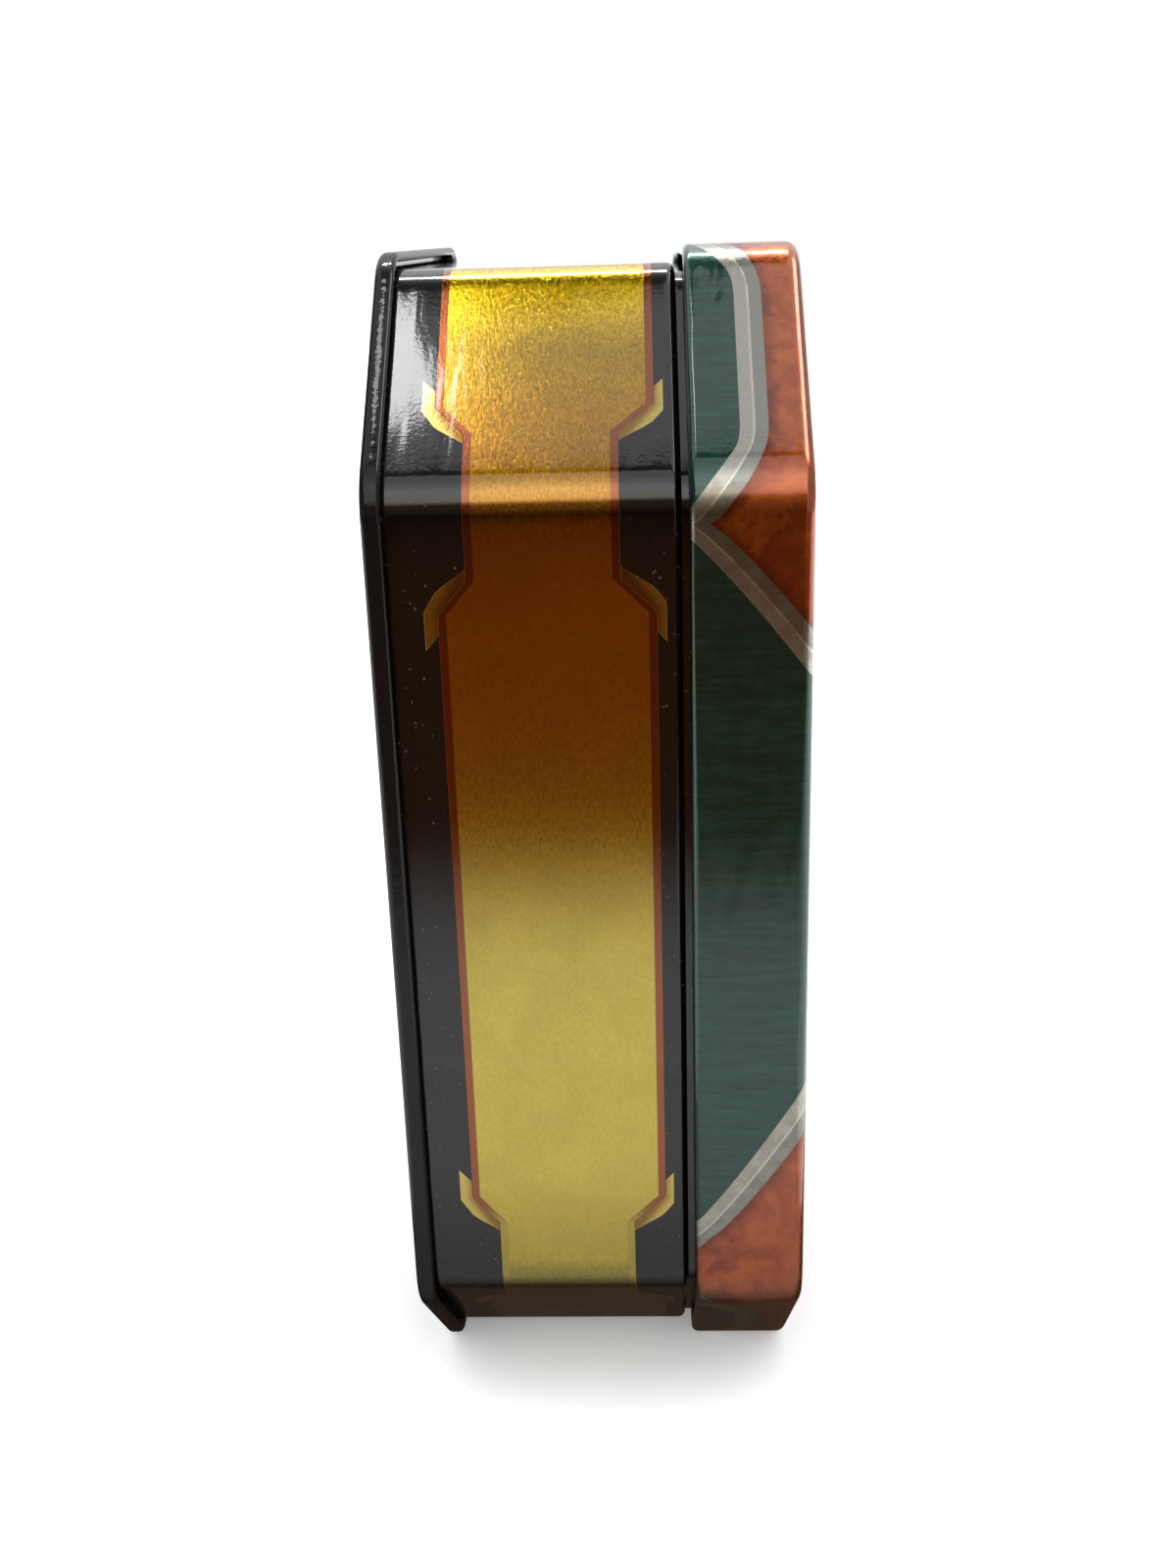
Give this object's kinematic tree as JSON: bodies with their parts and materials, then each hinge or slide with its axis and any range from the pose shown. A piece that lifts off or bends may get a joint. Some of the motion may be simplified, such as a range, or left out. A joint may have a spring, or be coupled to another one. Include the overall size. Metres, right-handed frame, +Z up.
{
  "type": "card game tin with hinged lid",
  "caption": "Eight-sided tinplate card tin standing on its short end, with a hinged lid, a formed tray, booster packs and promo cards inside.",
  "frame": {"origin": "centre of the bounding box at the floor, with the tin standing on its short end", "axes": "+Z up along the tin's long sides, +X from the back panel to the lid, +Y towards the long side with the hinges"},
  "size_m": [0.0636, 0.146, 0.195],
  "materials": {
    "body_print": "gloss black print with a gold and copper-brown belt, lacquered",
    "back_lacquer": "gloss black lacquer",
    "lid_print": "gloss green print with grey lines and a red-orange field, lacquered",
    "hinge_metal": "satin black lacquer",
    "bright_steel": "plain bright steel",
    "tray_plastic": "black formed plastic",
    "foil_red": "metallised wrapper",
    "foil_gold": "metallised wrapper",
    "foil_green": "metallised wrapper",
    "card_stock": "coated card",
    "leaflet_paper": "folded plain paper"
  },
  "bodies": {
    "tin": {"body_wall": "body_print", "back_panel": "back_lacquer", "upper_hinge_body_leaf": "hinge_metal", "upper_hinge_pin": "bright_steel", "upper_hinge_body_rivets": "bright_steel", "lower_hinge_body_leaf": "hinge_metal", "lower_hinge_pin": "bright_steel", "lower_hinge_body_rivets": "bright_steel", "insert_tray": "tray_plastic", "booster_pack_1": "foil_red", "booster_pack_2": "foil_gold", "booster_pack_3": "foil_green", "booster_cards_1": "card_stock", "booster_cards_2": "card_stock", "booster_cards_3": "card_stock", "rules_leaflet": "leaflet_paper", "promo_card_1": "card_stock", "promo_card_2": "card_stock", "promo_card_3": "card_stock", "promo_card_4": "card_stock", "promo_card_5": "card_stock"},
    "hinged_lid": {"lid": "lid_print", "upper_hinge_lid_leaf": "hinge_metal", "upper_hinge_lid_rivets": "bright_steel", "lower_hinge_lid_leaf": "hinge_metal", "lower_hinge_lid_rivets": "bright_steel"}
  },
  "joints": [
    {"name": "lid_hinge", "type": "hinge", "parent": "tin", "child": "hinged_lid", "pos_m": [0.01295, 0.07062, 0.0975], "axis": [0, 0, 1], "range_deg": [0, 115]}
  ]
}
